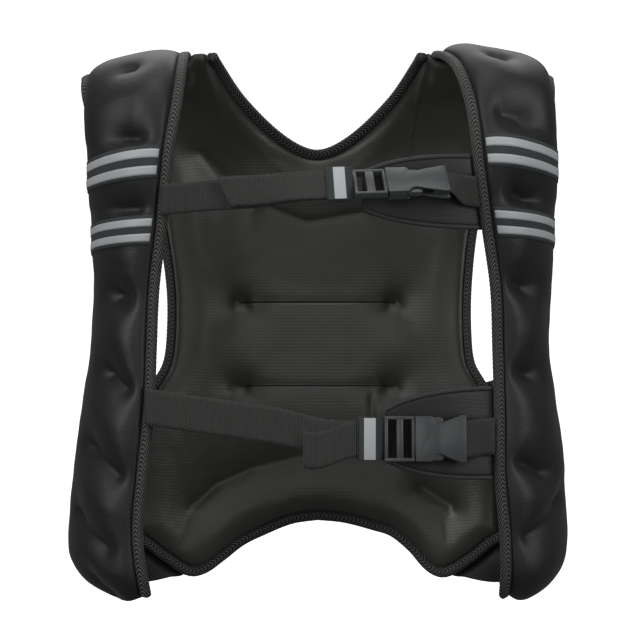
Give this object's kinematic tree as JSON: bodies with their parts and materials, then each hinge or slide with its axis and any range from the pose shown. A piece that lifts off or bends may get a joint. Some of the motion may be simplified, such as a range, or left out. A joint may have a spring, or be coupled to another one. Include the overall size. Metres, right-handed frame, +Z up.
{
  "type": "weighted vest",
  "caption": "Padded weighted vest with shoulder straps that wrap round the sides, bound edges, reflective tapes and buckled chest straps.",
  "frame": {"origin": "between the undersides of the two shoulders, at the middle of their slope, on the line on which the vest sits", "axes": "+Z up along the vest, the front with its buckles faces -Y, +X is to the right in the front view"},
  "size_m": [0.4269, 0.2421, 0.4734],
  "materials": {
    "neoprene": "near black stretch neoprene with a soft sheen",
    "panel": "dark brown olive smooth neoprene lining",
    "braid": "black herringbone braid edge binding",
    "tape": "dark blue grey woven tape",
    "silver": "silver retroreflective film",
    "webbing": "dark ribbed polypropylene webbing",
    "buckle": "charcoal moulded acetal, slightly glossy"
  },
  "bodies": {
    "root": {"strap_left": "neoprene", "strap_right": "neoprene", "upper_flap": "neoprene", "lower_flap": "neoprene", "back_panel": "panel", "strap_binding_left": "braid", "strap_binding_right": "braid", "armhole_binding_left": "braid", "armhole_binding_right": "braid", "neck_binding": "braid", "hem_binding": "braid", "side_binding_left": "braid", "side_binding_right": "braid", "upper_flap_binding": "braid", "lower_flap_binding": "braid", "tape_left_upper": "tape", "tape_left_lower": "tape", "tape_right_upper": "tape", "tape_right_lower": "tape", "stripe_left_upper_1": "silver", "stripe_left_upper_2": "silver", "stripe_left_lower_1": "silver", "stripe_left_lower_2": "silver", "stripe_right_upper_1": "silver", "stripe_right_upper_2": "silver", "stripe_right_lower_1": "silver", "stripe_right_lower_2": "silver", "upper_keeper_stripe": "silver", "lower_keeper_stripe": "silver", "upper_anchor": "webbing", "upper_webbing": "webbing", "upper_tail": "webbing", "upper_keeper": "webbing", "upper_end_webbing": "webbing", "lower_anchor": "webbing", "lower_webbing": "webbing", "lower_tail": "webbing", "lower_keeper": "webbing", "lower_end_webbing": "webbing", "upper_prongs": "buckle", "upper_socket": "buckle", "lower_prongs": "buckle", "lower_socket": "buckle"}
  },
  "joints": []
}
